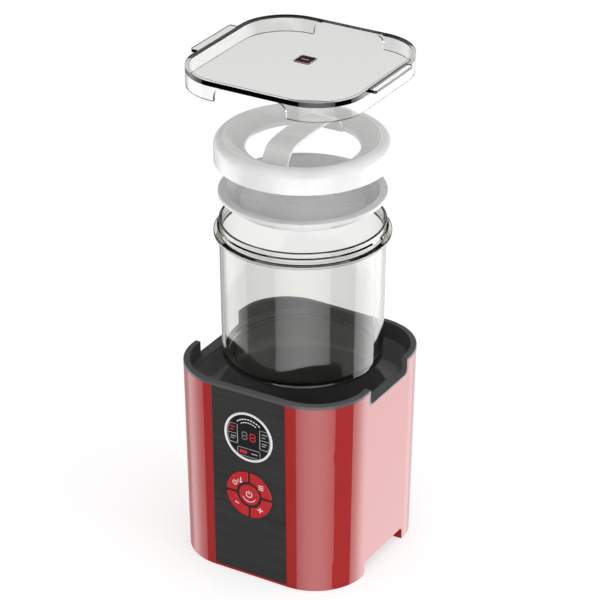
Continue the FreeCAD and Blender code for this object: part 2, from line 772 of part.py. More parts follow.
def handle_outline(inset):
    """Arch of the handle as (y, z) points, from the front foot to the rear one."""
    centre_y, centre_z = 29.8, 9.6
    lean, shoulder = math.radians(26), math.radians(84)
    corner_r = HANDLE_CORNER_R - inset
    crown_z = centre_z + HANDLE_CORNER_R * math.sin(shoulder) + HANDLE_CROWN_R * (
        1 - math.sin(shoulder)) - inset

    def at(angle, radius=corner_r):
        return centre_y + radius * math.cos(angle), centre_z + radius * math.sin(angle)

    foot_y, foot_z = at(lean)
    drop = 9.0
    foot_y += drop * math.sin(lean)
    foot_z -= drop * math.cos(lean)
    side = [(foot_y, foot_z), at(lean), at((lean + shoulder) / 2), at(shoulder)]
    return side, crown_z


def ring_handle():
    """Flat strap that arches over the hole from front to rear."""
    (o_foot, o_lean, o_mid, o_top), o_crown = handle_outline(0)
    (i_foot, i_lean, i_mid, i_top), i_crown = handle_outline(HANDLE_T)
    outline = [
        (-o_foot[0], o_foot[1]),
        (-o_lean[0], o_lean[1]),
        (-o_top[0], o_top[1], -o_mid[0], o_mid[1]),
        (o_top[0], o_top[1], 0, o_crown),
        (o_lean[0], o_lean[1], o_mid[0], o_mid[1]),
        (o_foot[0], o_foot[1]),
        (i_foot[0], i_foot[1]),
        (i_lean[0], i_lean[1]),
        (i_top[0], i_top[1], i_mid[0], i_mid[1]),
        (-i_top[0], i_top[1], 0, i_crown),
        (-i_lean[0], i_lean[1], -i_mid[0], i_mid[1]),
        (-i_foot[0], i_foot[1]),
    ]
    wire = closed_wire(outline, lambda y, z: V(-HANDLE_HALF, WELL_Y + y, RING_Z + z))
    strap = Part.Face(wire).extrude(V(2 * HANDLE_HALF, 0, 0))
    long_edges = [edge for edge in strap.Edges
                  if edge.BoundBox.XLength < 0.01 and edge.Length > HANDLE_T + 0.1]
    return strap.makeFillet(0.8, long_edges)


def lock_ring(handle):
    """Ring that clamps the inner lid; two lugs turn in under the jar's bead."""
    outer_bend = 8.0
    bend_inset = outer_bend * (1 - math.sqrt(0.5))
    outline = [
        (RING_R, 0),
        (RING_R, RING_H - outer_bend),
        (RING_R - outer_bend, RING_H, RING_R - bend_inset, RING_H - bend_inset),
        (RING_CREST_R + 0.8, RING_H),
        (RING_CREST_R - 0.4, RING_H - 0.7, RING_CREST_R, RING_H - 0.2),
        (52.6, 13.4, 59.6, 16.2),
        (RING_HOLE_R, 11.4, 50.5, 12.6),
        (RING_HOLE_R, 9.4),
        (51.6, 8.4, 50.3, 8.7),
        (53.4, 10.6, 52.3, 9.1),
        (64.5, 17.4, 59.6, 13.2),
        (SEAL_INNER_R - 1.0, SEAL_SEAT),
        (RING_BORE_R - 1.4, SEAL_SEAT),
        (RING_BORE_R, SEAL_SEAT - 2.4, RING_BORE_R - 0.3, SEAL_SEAT - 1.0),
        (RING_BORE_R, 0),
    ]
    body = turned(outline, RING_Z)
    lug = [(LUG_R, 0), (RING_BORE_R + 0.5, 0), (RING_BORE_R + 0.5, LUG_T), (LUG_R, LUG_T)]
    lugs = [turned(lug, RING_Z, start - LUG_HALF_DEG, 2 * LUG_HALF_DEG) for start in (0, 180)]
    return joined([body] + lugs).cut(handle)


def cover():
    """Clear plate with a raised rim, a skirt with two gaps and two finger tabs."""
    top = COVER_Z + COVER_H
    plate_top = top - COVER_RIM_H
    body = rounded_block(COVER_W, COVER_D, COVER_R, COVER_Z, top)
    recess = rounded_block(COVER_W - 2 * COVER_RIM_W, COVER_D - 2 * COVER_RIM_W,
                           COVER_R - COVER_RIM_W, plate_top, top + 1)
    hollow = rounded_block(COVER_W - 2 * COVER_WALL, COVER_D - 2 * COVER_WALL,
                           COVER_R - COVER_WALL, COVER_Z - 1, plate_top - COVER_PLATE_T)
    body = body.cut(recess).cut(hollow)
    gap = box(-COVER_GAP_HALF, COVER_GAP_HALF, -FAR, FAR, COVER_Z - 5,
              plate_top - COVER_PLATE_T)
    ends = [edge for edge in gap.Edges
            if edge.BoundBox.YLength > 1 and edge.BoundBox.ZMin > COVER_Z]
    body = body.cut(gap.makeFillet(COVER_GAP_R, ends))
    tabs = []
    for side in (-1, 1):
        xs = sorted((side * (COVER_W / 2 - 1), side * TAB_REACH))
        tab = box(xs[0], xs[1], -TAB_HALF, TAB_HALF, top - TAB_T + 0.4, top + 0.4)
        outer = [edge for edge in tab.Edges
                 if edge.BoundBox.ZLength > 1 and abs(edge.CenterOfMass.x) > TAB_REACH - 1]
        tabs.append(tab.makeFillet(2.0, outer))
    return joined([body] + tabs)


def cover_badge():
    z = COVER_Z + COVER_H - COVER_RIM_H
    body = rounded_block(BADGE_SIZE, BADGE_SIZE, 2.5, z, z + 0.6)
    body.translate(V(BADGE_X, BADGE_Y, 0))
    return body


# ---- Export -------------------------------------------------------------------------

handle_shape = ring_handle()
parts = {
    "outer_shell": outer_shell(),
    "control_panel": control_panel(),
    "display_bezel": display_bezel(),
    "display_lens": display_lens(),
    "display_module": display_module(),
    "display_board": display_board(),
    "display_board_screws": display_board_screws(),
    "tact_switches": tact_switches(),
    "buzzer": buzzer(),
    "inner_liner": inner_liner(),
    "liner_screws": liner_screws(),
    "heating_plate": heating_plate(),
    "heater_film": disc(62, FILM_BOTTOM, WELL_FLOOR_TOP, 12),
    "temperature_sensor": temperature_sensor(),
    "sensor_clip": sensor_clip(),
    "thermal_fuse": thermal_fuse(),
    "fuse_clamp": fuse_clamp(),
    "power_board": power_board(),
    "power_board_screws": power_board_screws(),
    "transformer": transformer(),
    "relay": relay(),
    "capacitors": capacitors(),
    "ribbon_connectors": ribbon_connectors(),
    "ribbon_cable": ribbon_cable(),
    "base_plate": base_plate(),
    "base_screws": base_screws(),
    "power_inlet": power_inlet(),
    "inlet_pins": inlet_pins(),
    "jar": jar(),
    "inner_lid": inner_lid(),
    "ring_seal": ring_seal(),
    "ring_handle": handle_shape,
    "lock_ring": lock_ring(handle_shape),
    "cover": cover(),
    "cover_badge": cover_badge(),
}
for name, (side_x, side_y) in FEET.items():
    parts[name] = foot(side_x * (FOOT_PLACE - 12), side_y * (FOOT_PLACE + 6))
for name in BUTTONS:
    parts[name] = button(name)

os.makedirs("parts", exist_ok=True)
for name, shape in parts.items():
    shape.exportStep("parts/" + name + ".step")
    solids = shape.Solids
    volume = sum(solid.Volume for solid in solids)
    print(name, "solids", len(solids), "valid", shape.isValid(), "cm3", round(volume / 1000, 2))
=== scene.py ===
import json
import math

import bmesh
import bpy
from mathutils import Matrix, Vector


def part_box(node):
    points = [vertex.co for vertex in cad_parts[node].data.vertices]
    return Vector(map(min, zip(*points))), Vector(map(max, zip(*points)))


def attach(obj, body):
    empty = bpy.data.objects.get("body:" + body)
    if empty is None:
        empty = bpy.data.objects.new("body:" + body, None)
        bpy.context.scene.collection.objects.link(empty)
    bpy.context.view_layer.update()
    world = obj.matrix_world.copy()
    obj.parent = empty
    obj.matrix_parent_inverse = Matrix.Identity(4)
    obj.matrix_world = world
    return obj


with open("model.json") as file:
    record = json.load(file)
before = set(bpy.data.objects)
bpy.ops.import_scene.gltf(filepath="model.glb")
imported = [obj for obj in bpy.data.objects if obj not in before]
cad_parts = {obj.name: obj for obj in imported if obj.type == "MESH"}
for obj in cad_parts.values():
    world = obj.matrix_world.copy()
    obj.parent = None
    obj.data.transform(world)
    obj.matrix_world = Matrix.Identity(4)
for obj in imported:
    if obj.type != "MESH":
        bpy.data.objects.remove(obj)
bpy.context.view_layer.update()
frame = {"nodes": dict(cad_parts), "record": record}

MM = 0.001
scene = bpy.context.scene
nodes = frame["nodes"]

# ---- Sizes of the base and the cover, in metres ---------------------------------------

SHELL_TOP = 187.2 * MM
FRONT_Y = -90.25 * MM               # the front at its top edge
TILT = math.atan(3.2 / 187.2)       # the front slopes inwards to the foot
LINER_LIP_LOW = 175.2 * MM          # painted light: the liner is made paler below here, fully from here down
LINER_PAINTED_LIGHT_TOP = 174.0 * MM         # fully from here down
COVER_PLATE_LOW = 465.9 * MM        # underside of the cover's plate
COVER_TAB_X = 83.2 * MM             # the cover's finger tabs end beyond this
EDGE_BLEND = 0.3 * MM               # short steps between clear and the painted black shade on the cover
TAB_BLEND = 0.4 * MM

# ---- Camera ---------------------------------------------------------------------------

CAM_AZIMUTH = math.radians(30.389)
CAM_ELEVATION = math.radians(27.514)
CAM_ROLL = math.radians(0.068)
CAM_DISTANCE = 2.3948               # metres from the target
CAM_TARGET_Z = 0.2399
CAM_SIDE = -0.000577                # the target's place to the right of the middle
CAM_LENS = 163.07                   # millimetres, on a sensor 36 mm wide


def make_camera():
    """The photograph's viewing angle, with a long lens."""
    towards = Vector((math.sin(CAM_AZIMUTH) * math.cos(CAM_ELEVATION),
                      -math.cos(CAM_AZIMUTH) * math.cos(CAM_ELEVATION),
                      math.sin(CAM_ELEVATION)))
    right = Vector((math.cos(CAM_AZIMUTH), math.sin(CAM_AZIMUTH), 0))
    target = Vector((0, 0, CAM_TARGET_Z)) + right * CAM_SIDE
    data = bpy.data.cameras.new("camera")
    data.lens = CAM_LENS
    data.sensor_width = 36
    data.clip_start = 0.05
    data.clip_end = 50
    camera = bpy.data.objects.new("camera", data)
    scene.collection.objects.link(camera)
    camera.matrix_world = (Matrix.Translation(target + towards * CAM_DISTANCE)
                           @ towards.to_track_quat("Z", "Y").to_matrix().to_4x4()
                           @ Matrix.Rotation(CAM_ROLL, 4, "Z"))
    scene.camera = camera


# ---- Shader node helpers --------------------------------------------------------------

def math_node(tree, operation, *values):
    """The result of an operation on numbers and sockets."""
    node = tree.nodes.new("ShaderNodeMath")
    node.operation = operation
    for socket, value in zip(node.inputs, values):
        if isinstance(value, (int, float)):
            socket.default_value = value
        else:
            tree.links.new(value, socket)
    return node.outputs[0]


def map_range(tree, value, start, end, low=0.0, high=1.0, kind="LINEAR"):
    """From low at start to high at end, and held beyond both."""
    node = tree.nodes.new("ShaderNodeMapRange")
    node.interpolation_type = kind
    node.inputs["From Min"].default_value = start
    node.inputs["From Max"].default_value = end
    node.inputs["To Min"].default_value = low
    node.inputs["To Max"].default_value = high
    tree.links.new(value, node.inputs["Value"])
    return node.outputs[0]


# ---- Light ----------------------------------------------------------------------------

AMBIENT = 0.6               # what matt surfaces receive from all round
STUDIO_DARK = 0.05          # what reflections see above and straight below
DEEP_REFLECTION = 0.06      # what is left of light after two mirror bounces
BOX_TOP = (0.02, 0.22)      # heights (a direction's z) between which the boxes fade out
BOX_LOW = (-0.58, -0.74)
LAMP_TARGET = Vector((0, 0, 0.2))
NOT_ZERO = 0.001            # keeps a division safe straight up and straight down
FIRST = 0.5                 # a ray that hasn't left a matt surface has a diffuse depth below this

# Brightness of the soft boxes that reflections see, from behind the object (0) to the
# camera's side (1), on the right and on the left as the camera sees it
RIGHT_BOXES = [
    (0.00, 1.1), (0.07, 1.4), (0.15, 3.0), (0.24, 3.7), (0.29, 4.2), (0.39, 4.0), (0.49, 3.0),
    (0.600, 2.0), (0.604, 0.03), (0.888, 0.03), (0.892, 1.6), (0.94, 2.4), (1.00, 3.4),
]
LEFT_BOXES = [
    (0.00, 0.5), (0.07, 0.55), (0.123, 0.9), (0.185, 2.1), (0.244, 2.4), (0.30, 2.45),
    (0.408, 1.8), (0.544, 1.2), (0.548, 0.03), (0.888, 0.03), (0.892, 1.6), (0.94, 2.4),
    (1.00, 3.4),
]


def fading(tree):
    """1 for light after one mirror bounce at most, almost 0 from the second on."""
    path = tree.nodes.new("ShaderNodeLightPath")
    return map_range(tree, path.outputs["Glossy Depth"], 1.0, 2.0, 1.0, DEEP_REFLECTION)


def soft_boxes(tree, facing, stops):
    """Brightness along facing, which runs from 0 to 1, given as (place, level) stops."""
    ramp_node = tree.nodes.new("ShaderNodeValToRGB")
    ramp = ramp_node.color_ramp
    while len(ramp.elements) < len(stops):
        ramp.elements.new(0.5)
    for element, (place, level) in zip(ramp.elements, stops):
        element.position = place
        element.color = (level, level, level, 1)
    tree.links.new(facing, ramp_node.inputs[0])
    return ramp_node.outputs["Color"]


def mix_color(tree, factor, first, second):
    """Blend of two colours, each a socket or a grey level."""
    node = tree.nodes.new("ShaderNodeMix")
    node.data_type = "RGBA"
    tree.links.new(factor, node.inputs["Factor"])
    for name, color in (("A", first), ("B", second)):
        if isinstance(color, float):
            node.inputs[name].default_value = (color, color, color, 1)
        else:
            tree.links.new(color, node.inputs[name])
    return node.outputs["Result"]


def world_light():
    """White studio; reflections see soft boxes placed about the camera's side."""
    world = bpy.data.worlds.new("studio")
    scene.world = world
    world.use_nodes = True
    tree = world.node_tree
    tree.nodes.clear()
    new = tree.nodes.new
    link = tree.links.new

    def calc(operation, *values):
        return math_node(tree, operation, *values)

    split = new("ShaderNodeSeparateXYZ")
    link(new("ShaderNodeTexCoord").outputs["Generated"], split.inputs[0])
    x, y, z = split.outputs
    level_part = calc("SQRT", calc("ADD", calc("MULTIPLY", x, x), calc("MULTIPLY", y, y)))
    ahead = calc("ADD", calc("MULTIPLY", x, math.sin(CAM_AZIMUTH)),
                 calc("MULTIPLY", y, -math.cos(CAM_AZIMUTH)))
    facing = calc("DIVIDE", ahead, calc("MAXIMUM", level_part, NOT_ZERO))
    facing = calc("MULTIPLY_ADD", facing, 0.5, 0.5)
    sideways = calc("ADD", calc("MULTIPLY", x, math.cos(CAM_AZIMUTH)),
                    calc("MULTIPLY", y, math.sin(CAM_AZIMUTH)))
    to_right = calc("GREATER_THAN", sideways, 0.0)
    seen = mix_color(tree, to_right, soft_boxes(tree, facing, LEFT_BOXES),
                     soft_boxes(tree, facing, RIGHT_BOXES))
    for start, end in (BOX_TOP, BOX_LOW):
        beyond = map_range(tree, z, start, end, kind="SMOOTHSTEP")
        seen = mix_color(tree, beyond, seen, STUDIO_DARK)

    fade = fading(tree)
    reflected = new("ShaderNodeBackground")
    link(seen, reflected.inputs["Color"])
    link(fade, reflected.inputs["Strength"])
    path = new("ShaderNodeLightPath")
    plain = new("ShaderNodeBackground")
    plain.inputs["Color"].default_value = (1, 1, 1, 1)
    lights_matt = calc("GREATER_THAN", path.outputs["Diffuse Depth"], FIRST)
    level = calc("MULTIPLY_ADD", lights_matt, AMBIENT - 1, 1.0)
    link(calc("MULTIPLY", level, fade), plain.inputs["Strength"])
    seen_first = calc("LESS_THAN", path.outputs["Diffuse Depth"], FIRST)
    mix = new("ShaderNodeMixShader")
    link(calc("MULTIPLY", path.outputs["Is Glossy Ray"], seen_first), mix.inputs[0])
    link(plain.outputs[0], mix.inputs[1])
    link(reflected.outputs[0], mix.inputs[2])
    output = new("ShaderNodeOutputWorld")
    link(mix.outputs[0], output.inputs["Surface"])


def soft_box(name, place, side, watts):
    """Square lamp that lights matt surfaces and isn't seen itself."""
    data = bpy.data.lights.new(name, "AREA")
    data.shape = "RECTANGLE"
    data.size = side
    data.size_y = side
    data.energy = watts
    lamp = bpy.data.objects.new(name, data)
    scene.collection.objects.link(lamp)
    place = Vector(place)
    aim = (place - LAMP_TARGET).to_track_quat("Z", "Y")
    lamp.matrix_world = Matrix.Translation(place) @ aim.to_matrix().to_4x4()
    lamp.visible_glossy = False
    lamp.visible_camera = False
    lamp.visible_transmission = False


# ---- Materials ------------------------------------------------------------------------

NOISE_RANGE = (0.3, 0.7)            # where almost all of a noise node's values lie
JAR_PAINTED_OUTLINE = (0.80, 0.93)          # slant at which the jar's painted dark outline starts and is full
CLEAR_SHADOW = (0.9, 0.9, 0.9, 1)   # what clear pieces let through of a lamp's light


class Paint:
    """A principled material with helpers for procedural detail in the object's own metres."""

    def __init__(self, name, color, roughness, **sockets):
        self.material = bpy.data.materials.new(name)
        self.material.use_nodes = True
        self.tree = self.material.node_tree
        self.bsdf = self.tree.nodes["Principled BSDF"]
        self.bsdf.inputs["Base Color"].default_value = (*color, 1)
        self.bsdf.inputs["Roughness"].default_value = roughness
        for socket, value in sockets.items():
            self.bsdf.inputs[socket.replace("_", " ")].default_value = value
        self.color = color

    def node(self, kind, **inputs):
        node = self.tree.nodes.new(kind)
        for socket, value in inputs.items():
            node.inputs[socket].default_value = value
        return node

    def link(self, source, target):
        self.tree.links.new(source, target)

    def axes(self, kind, output):
        """The three parts of a node's vector."""
        split = self.node("ShaderNodeSeparateXYZ")
        self.link(self.node(kind).outputs[output], split.inputs[0])
        return split.outputs

    def math(self, operation, *values):
        return math_node(self.tree, operation, *values)

    def step(self, value, start, end):
        """Eased from 0 at start to 1 at end."""
        return map_range(self.tree, value, start, end, kind="SMOOTHSTEP")

    def outside(self, mask):
        """1 where the mask is 0, and 0 where it is 1."""
        return self.step(mask, 1.0, 0.0)

    def noise(self, scale, detail=3.0, stretch=(1, 1, 1)):
        """Noise through the object's coordinates, finer where stretch is larger."""
        place = self.node("ShaderNodeTexCoord")
        mapping = self.node("ShaderNodeMapping", Scale=stretch)
        self.link(place.outputs["Object"], mapping.inputs["Vector"])
        noise = self.node("ShaderNodeTexNoise", Scale=scale, Detail=detail)
        self.link(mapping.outputs[0], noise.inputs["Vector"])
        return noise.outputs["Fac"]

    def scale_color(self, level):
        """Base colour, as it is so far, times a level that varies over the surface."""
        base = self.bsdf.inputs["Base Color"]
        scale = self.node("ShaderNodeVectorMath")
        scale.operation = "SCALE"
        if base.links:
            self.link(base.links[0].from_socket, scale.inputs[0])
        else:
            scale.inputs[0].default_value = self.color
        self.link(level, scale.inputs["Scale"])
        self.link(scale.outputs[0], base)

    def shade(self, factor, amount):
        """Colour varies about its mean by amount."""
        self.scale_color(map_range(self.tree, factor, *NOISE_RANGE, 1 - amount, 1 + amount))

    def gloss(self, factor, low, high):
        """Roughness varies between two limits."""
        spread = map_range(self.tree, factor, *NOISE_RANGE, low, high)
        self.link(spread, self.bsdf.inputs["Roughness"])

    def bump(self, factor, depth):
        """Surface relief, depth in metres."""
        bump = self.node("ShaderNodeBump", Strength=1.0, Distance=depth)
        self.link(factor, bump.inputs["Height"])
        self.link(bump.outputs[0], self.bsdf.inputs["Normal"])


def moulded(name, color, roughness, grain=2500, depth=1.2e-5, **sockets):
    """Moulded plastic: cloudy colour, uneven gloss and a fine grain."""
    paint = Paint(name, color, roughness, **sockets)
    paint.shade(paint.noise(35), 0.05)
    paint.gloss(paint.noise(90), roughness * 0.88, roughness * 1.15)
    paint.bump(paint.noise(grain, detail=2), depth)
    return paint


def lacquer():
    """Deep red gloss with faint waviness."""
    paint = Paint("red_lacquer", (0.375, 0.029, 0.030), 0.03, IOR=1.5)
    paint.shade(paint.noise(18), 0.03)
    paint.gloss(paint.noise(60), 0.02, 0.045)
    return paint


def panel_paint():
    """Dark panel with fine level hairlines."""
    paint = Paint("lined_panel", (0.027, 0.027, 0.028), 0.42, Specular_IOR_Level=0.35)
    lines = paint.noise(1.0, stretch=(12, 400, 2600))
    paint.shade(lines, 0.45)
    paint.gloss(lines, 0.36, 0.5)
    paint.bump(lines, 1.5e-5)
    return paint


def clear(name, density, tint):
    """Clear moulding: refracting surfaces and a light tint through the thickness.

    Lamps shine through it as through a thin sheet.
    """
    paint = Paint(name, (1, 1, 1), 0.0, IOR=1.5, Transmission_Weight=1.0)
    paint.gloss(paint.noise(40), 0.0, 0.004)
    volume = paint.node("ShaderNodeVolumeAbsorption", Color=(*tint, 1), Density=density)
    output = paint.tree.nodes["Material Output"]
    paint.link(volume.outputs[0], output.inputs["Volume"])
    path = paint.node("ShaderNodeLightPath")
    sheet = paint.node("ShaderNodeBsdfTransparent", Color=CLEAR_SHADOW)
    either = paint.node("ShaderNodeMixShader")
    paint.link(path.outputs["Is Shadow Ray"], either.inputs[0])
    paint.link(paint.bsdf.outputs[0], either.inputs[1])
    paint.link(sheet.outputs[0], either.inputs[2])
    paint.link(either.outputs[0], output.inputs["Surface"])
    return paint


def clear_jar():
    """Clear wall with a painted dark outline, where the wall is seen edge-on, as thick mouldings
    look against white.
    """
    paint = clear("clear_jar", 160.0, (0.61, 0.61, 0.56))
    # Painted shade: the base colour, which tints what passes through, goes to black where the
    # wall is seen edge-on.
    weight = paint.node("ShaderNodeLayerWeight", Blend=0.5)
    outline = paint.step(weight.outputs["Facing"], *JAR_PAINTED_OUTLINE)
    paint.link(paint.outside(outline), paint.bsdf.inputs["Base Color"])
    return paint


def clear_cover():
    """Clear plate; the walls round its edge and the tabs' ends are painted black, a painted shade
    for the dark of light trapped in them.
    """
    paint = clear("clear_cover", 28.0, (0.61, 0.61, 0.52))
    x, _, z = paint.axes("ShaderNodeTexCoord", "Object")
    _, facing_y, up = paint.axes("ShaderNodeNewGeometry", "Normal")
    # Painted shade: the upright walls above the plate's underside and the tabs' end faces are
    # made black and not clear.
    upright = paint.step(paint.math("ABSOLUTE", up), 0.85, 0.55)
    above = paint.step(z, COVER_PLATE_LOW, COVER_PLATE_LOW + EDGE_BLEND)
    painted_black_edge = paint.math("MULTIPLY", above, upright)
    far_out = paint.step(paint.math("ABSOLUTE", x), COVER_TAB_X, COVER_TAB_X + TAB_BLEND)
    end_face = paint.step(paint.math("ABSOLUTE", facing_y), 0.5, 0.8)
    painted_black_tab_end = paint.math("MULTIPLY", far_out, end_face)
    clear_part = paint.outside(paint.math("MAXIMUM", painted_black_edge, painted_black_tab_end))
    paint.link(clear_part, paint.bsdf.inputs["Base Color"])
    paint.link(clear_part, paint.bsdf.inputs["Transmission Weight"])
    return paint


def liner_paint():
    """Dark moulding with painted light below the lip, which makes it paler there."""
    paint = moulded("dark_liner", (0.088, 0.088, 0.090), 0.36, depth=1.5e-5,
                    Specular_IOR_Level=0.4)
    _, _, z = paint.axes("ShaderNodeTexCoord", "Object")
    # Painted light: from the lip down, the base colour is raised up to 2.3 times to light the
    # inside of the well.
    painted_light_below_lip = paint.step(z, LINER_LIP_LOW, LINER_PAINTED_LIGHT_TOP)
    paint.scale_color(paint.math("MULTIPLY_ADD", painted_light_below_lip, 1.3, 1.0))
    return paint


def metal(name, color, roughness, stretch=(1, 1, 1)):
    """Bare metal; its marks are finer along the axes where stretch is larger."""
    paint = Paint(name, color, roughness, Metallic=1.0)
    paint.shade(paint.noise(120, 4, stretch), 0.06)
    paint.gloss(paint.noise(300, 3, stretch), roughness * 0.8, roughness * 1.25)
    return paint


def circuit_board():
    """Green lacquer with fine blotches, as over copper tracks."""
    paint = Paint("circuit_board", (0.01, 0.12, 0.045), 0.3)
    paint.shade(paint.noise(420, detail=0), 0.3)
    paint.gloss(paint.noise(150), 0.25, 0.4)
    return paint


def glow(name, color, strength):
    """Lit segment."""
    paint = Paint(name, color, 0.35, Emission_Strength=strength)
    paint.bsdf.inputs["Emission Color"].default_value = (*color, 1)
    paint.shade(paint.noise(700), 0.06)
    return paint


PAINTS = {
    "red_shell": lacquer(),
    "grey_panel": panel_paint(),
    "bright_trim": moulded("bright_trim", (0.8, 0.8, 0.8), 0.16, depth=2e-6),
    "dark_lens": moulded("dark_window", (0.016, 0.016, 0.017), 0.12, depth=1e-6),
    "display_block": moulded("display_block", (0.03, 0.03, 0.03), 0.5),
    "board_green": circuit_board(),
    "screw_steel": metal("screw_steel", (0.55, 0.55, 0.56), 0.3),
    "switch_black": moulded("switch_black", (0.03, 0.03, 0.03), 0.45),
    "dark_liner": liner_paint(),
    "heater_coating": moulded("heater_coating", (0.02, 0.02, 0.02), 0.45, grain=900,
                              depth=2e-5),
    "heater_amber": moulded("heater_amber", (0.45, 0.17, 0.02), 0.3),
    "sensor_steel": metal("sensor_steel", (0.6, 0.6, 0.61), 0.28),
    "core_steel": metal("core_steel", (0.25, 0.25, 0.26), 0.45, (1, 1, 40)),
    "relay_blue": moulded("relay_blue", (0.03, 0.09, 0.35), 0.35),
    "can_black": moulded("can_black", (0.03, 0.03, 0.05), 0.3),
    "connector_white": moulded("connector_white", (0.75, 0.72, 0.62), 0.45),
    "cable_grey": moulded("cable_grey", (0.5, 0.5, 0.5), 0.5),
    "inlet_black": moulded("inlet_black", (0.02, 0.02, 0.02), 0.4),
    "pin_brass": metal("pin_brass", (0.75, 0.58, 0.28), 0.22),
    "foot_rubber": moulded("foot_rubber", (0.03, 0.03, 0.03), 0.75, grain=1500, depth=3e-5),
    "red_button": moulded("red_button", (0.50, 0.017, 0.022), 0.28, depth=4e-6),
    "clear_jar": clear_jar(),
    "lid_white": moulded("lid_white", (0.70, 0.70, 0.70), 0.3, depth=4e-6),
    "ring_white": moulded("ring_white", (0.83, 0.83, 0.825), 0.22, depth=3e-6),
    "seal_silicone": moulded("seal_silicone", (0.7, 0.7, 0.7), 0.5),
    "clear_cover": clear_cover(),
    "badge_dark": moulded("badge_dark", (0.030, 0.007, 0.009), 0.25, depth=2e-6),
    "print_white": moulded("print_white", (0.82, 0.82, 0.82), 0.4, depth=2e-6),
    "print_dim": moulded("print_dim", (0.20, 0.19, 0.19), 0.4, depth=2e-6),
    "print_grey": moulded("print_grey", (0.40, 0.39, 0.39), 0.4, depth=2e-6),
    "lit_red": glow("lit_red", (0.62, 0.02, 0.035), 0.12),
}

NODE_PAINT = {sub["node"]: sub["material_slot"] for sub in frame["record"]["subparts"]}


def dress(name, node):
    """Give the node its slot's material."""
    paint = PAINTS[NODE_PAINT[name]].material
    node.data.materials.clear()
    node.data.materials.append(paint)


# ---- Printed marks and lit segments, drawn in millimetres: x to the right, z up --------

DISPLAY_Z = 145.0           # middle of the round display
CLUSTER_Z = 86.0            # middle of the round cluster of buttons
PRINT_THICK = 0.06
ON_PANEL = 0.06             # how far the print's face stands out of the panel
OVER_LINES = 0.07
ON_CAPS = 0.93              # the caps stand out 0.9, and the print 0.03 more
SHARPEST = 0.6              # at sharper corners than this a line's mitre isn't drawn out
DIGIT_WIDTH = 5.8
DIGIT_HEIGHT = 8.2
SEGMENT = 0.95              # width of a digit's segment
SEGMENT_GAP = 0.18          # from a segment's tip to its corner


def on_front():
    """From a flat drawing (x, depth behind the panel, z) to the base's sloping front."""
    pivot = Vector((0, FRONT_Y, SHELL_TOP))
    return (Matrix.Translation(pivot) @ Matrix.Rotation(TILT, 4, "X")
            @ Matrix.Translation(Vector((0, 0, -SHELL_TOP))))


def rounded_box(centre, half_x, half_z, radius):
    """Outline of a box with round corners; the halves reach to its straight sides."""
    points = []
    for side_x, side_z, start in ((1, 1, 0), (-1, 1, 90), (-1, -1, 180), (1, -1, 270)):
        corner_x = centre[0] + side_x * (half_x - radius)
        corner_z = centre[1] + side_z * (half_z - radius)
        for turn in (0, 30, 60, 90):
            angle = math.radians(start + turn)
            points.append((corner_x + radius * math.cos(angle),
                           corner_z + radius * math.sin(angle)))
    return points


class Sheet:
    """Thin raised print on a plane."""

    def __init__(self, name, paint, place, lift=ON_PANEL):
        self.name = name
        self.paint = paint
        self.place = place
        self.lift = lift
        self.mesh = bmesh.new()

    def face(self, points):
        """Closed outline as a thin slab."""
        rims = []
        for depth in (-self.lift, PRINT_THICK - self.lift):
            rims.append([self.mesh.verts.new((x * MM, depth * MM, z * MM)) for x, z in points])
        self.mesh.faces.new(rims[0])
        self.mesh.faces.new(reversed(rims[1]))
        count = len(points)
        for i in range(count):
            j = (i + 1) % count
            self.mesh.faces.new((rims[0][j], rims[0][i], rims[1][i], rims[1][j]))

    def stroke(self, points, width, closed=False):
        """Line of even width with square ends."""
        count = len(points)
        sides = []
        for i, (x, z) in enumerate(points):
            before = points[i - 1] if closed or i else points[i]
            after = points[(i + 1) % count] if closed or i < count - 1 else points[i]
            along = Vector((after[0] - before[0], after[1] - before[1])).normalized()
            arriving = Vector((x - before[0], z - before[1]))
            mitre = 1.0
            if arriving.length > 1e-6:
                mitre = 1 / max(abs(arriving.normalized().dot(along)), SHARPEST)
            reach = width / 2 * mitre
            sides.append([(x - s * along.y * reach, z + s * along.x * reach) for s in (1, -1)])
        for i in range(count if closed else count - 1):
            j = (i + 1) % count
            self.face([sides[i][0], sides[i][1], sides[j][1], sides[j][0]])

    def arc(self, centre, radius, width, start, sweep, closed=False):
        """Stroke along an arc, angles in degrees from +x."""
        steps = max(8, int(abs(sweep) / 5))
        points = []
        for i in range(steps if closed else steps + 1):
            angle = math.radians(start + sweep * i / steps)
            points.append((centre[0] + radius * math.cos(angle),
                           centre[1] + radius * math.sin(angle)))
        self.stroke(points, width, closed)

    def disc(self, centre, radius):
        """Filled circle."""
        sides = 24
        angles = [math.tau * i / sides for i in range(sides)]
        self.face([(centre[0] + radius * math.cos(angle),
                    centre[1] + radius * math.sin(angle)) for angle in angles])

    def bar(self, x0, x1, z0, z1):
        """Filled rectangle."""
        self.face([(x0, z0), (x1, z0), (x1, z1), (x0, z1)])

    def done(self, body, slot):
        """Make the print a piece that rides on the body."""
        bmesh.ops.recalc_face_normals(self.mesh, faces=self.mesh.faces)
        data = bpy.data.meshes.new(self.name)
        self.mesh.to_mesh(data)
        self.mesh.free()
        data.transform(self.place)
        piece = bpy.data.objects.new(self.name, data)
        scene.collection.objects.link(piece)
        data.materials.append(PAINTS[self.paint].material)
        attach(piece, body)


def front_sheet(name, paint, lift=ON_PANEL):
    """Print on the base's front."""
    return Sheet(name, paint, on_front(), lift)


def lens_outline(radius, x0, z0, z1):
    """Box whose outer side follows the window's rim; x0 is its straight inner side."""
    side = math.copysign(1, x0)
    points = [(x0, DISPLAY_Z + z0), (x0, DISPLAY_Z + z1)]
    steps = 8
    for i in range(steps + 1):
        z = z1 + (z0 - z1) * i / steps
        points.append((side * math.sqrt(radius ** 2 - z ** 2), DISPLAY_Z + z))
    return points


